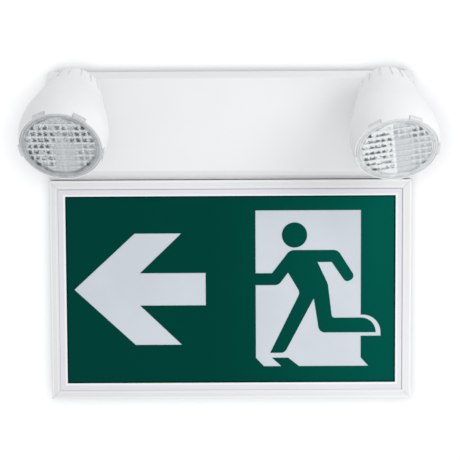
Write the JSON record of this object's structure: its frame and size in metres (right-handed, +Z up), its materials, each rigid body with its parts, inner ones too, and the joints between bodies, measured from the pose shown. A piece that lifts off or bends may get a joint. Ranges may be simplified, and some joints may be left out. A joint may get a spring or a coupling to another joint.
{
  "type": "emergency exit light",
  "caption": "Wall emergency exit light: steel battery housing with adjustable ribbed lamp heads above a framed green running-man sign.",
  "frame": {"origin": "wall plane, at the middle of the conduit knockout in the back plate", "axes": "+X to the right as one faces the light, +Y into the wall, +Z up"},
  "size_m": [0.3691, 0.1565, 0.3078],
  "materials": {
    "battery_sleeve": "satin",
    "board_green": "satin",
    "board_white": "matt",
    "bright_zinc": "polished",
    "bulb_glass": "polished",
    "button_red": "satin",
    "cast_aluminium": "matt",
    "frame_white": "satin",
    "holder_white": "matt",
    "lamp_white": "satin",
    "lens_clear": "polished",
    "pilot_green": "polished",
    "reflector_bright": "polished",
    "sign_green": "satin",
    "sign_white": "satin",
    "switch_black": "satin",
    "swivel_white": "satin",
    "terminal_plastic": "matt",
    "transformer_core": "matt",
    "trim_white": "satin",
    "white_enamel": "matt",
    "zinc_steel": "satin"
  },
  "bodies": {
    "housing": {"back_plate": "zinc_steel", "battery_pack": "battery_sleeve", "battery_strap": "zinc_steel", "board_standoffs": "board_white", "circuit_board": "board_green", "corner_keys": "cast_aluminium", "cover_screws": "bright_zinc", "diffuser_panel": "sign_white", "frame_bottom": "frame_white", "frame_left": "frame_white", "frame_right": "frame_white", "frame_top": "frame_white", "gap_washers": "zinc_steel", "housing_cover": "white_enamel", "joining_nuts": "bright_zinc", "joining_screws": "bright_zinc", "lead_nipple": "bright_zinc", "led_strip_bottom": "board_white", "led_strip_top": "board_white", "legend_film": "sign_green", "nipple_nuts": "bright_zinc", "panel_trim": "trim_white", "pilot_lamp": "pilot_green", "rear_cover": "zinc_steel", "rear_screws": "bright_zinc", "strap_nuts": "bright_zinc", "switch_nut": "bright_zinc", "terminal_block": "terminal_plastic", "test_switch": "switch_black", "transformer": "transformer_core"},
    "left_swivel_mount": {"left_swivel": "swivel_white", "left_swivel_washer": "zinc_steel", "left_swivel_nut": "bright_zinc"},
    "right_swivel_mount": {"right_swivel": "swivel_white", "right_swivel_washer": "zinc_steel", "right_swivel_nut": "bright_zinc"},
    "left_head": {"left_shell": "lamp_white", "left_lens": "lens_clear", "left_reflector": "reflector_bright", "left_bulb": "bulb_glass", "left_bulb_holder": "holder_white", "left_tilt_pin": "bright_zinc"},
    "right_head": {"right_shell": "lamp_white", "right_lens": "lens_clear", "right_reflector": "reflector_bright", "right_bulb": "bulb_glass", "right_bulb_holder": "holder_white", "right_tilt_pin": "bright_zinc"},
    "button": {"test_button": "button_red"}
  },
  "joints": [
    {"name": "left_swivel_turn", "type": "hinge", "parent": "housing", "child": "left_swivel_mount", "pos_m": [-0.1408, -0.048, 0.029], "axis": [0, 1, 0], "range_deg": [-98.2, 81.8]},
    {"name": "left_head_tilt", "type": "hinge", "parent": "left_swivel_mount", "child": "left_head", "pos_m": [-0.1408, -0.076, 0.029], "axis": [0.9898, 0, -0.1426], "range_deg": [-52.5, 34.5]},
    {"name": "right_swivel_turn", "type": "hinge", "parent": "housing", "child": "right_swivel_mount", "pos_m": [0.1408, -0.048, 0.029], "axis": [0, 1, 0], "range_deg": [-84.2, 95.8]},
    {"name": "right_head_tilt", "type": "hinge", "parent": "right_swivel_mount", "child": "right_head", "pos_m": [0.1408, -0.076, 0.029], "axis": [0.9949, 0, 0.1011], "range_deg": [-56.5, 30.5]},
    {"name": "test_button_press", "type": "slide", "parent": "housing", "child": "button", "axis": [-1, 0, 0], "range_m": [0, 0.002], "stiffness_N_per_m": 800, "springref_m": -0.001}
  ]
}
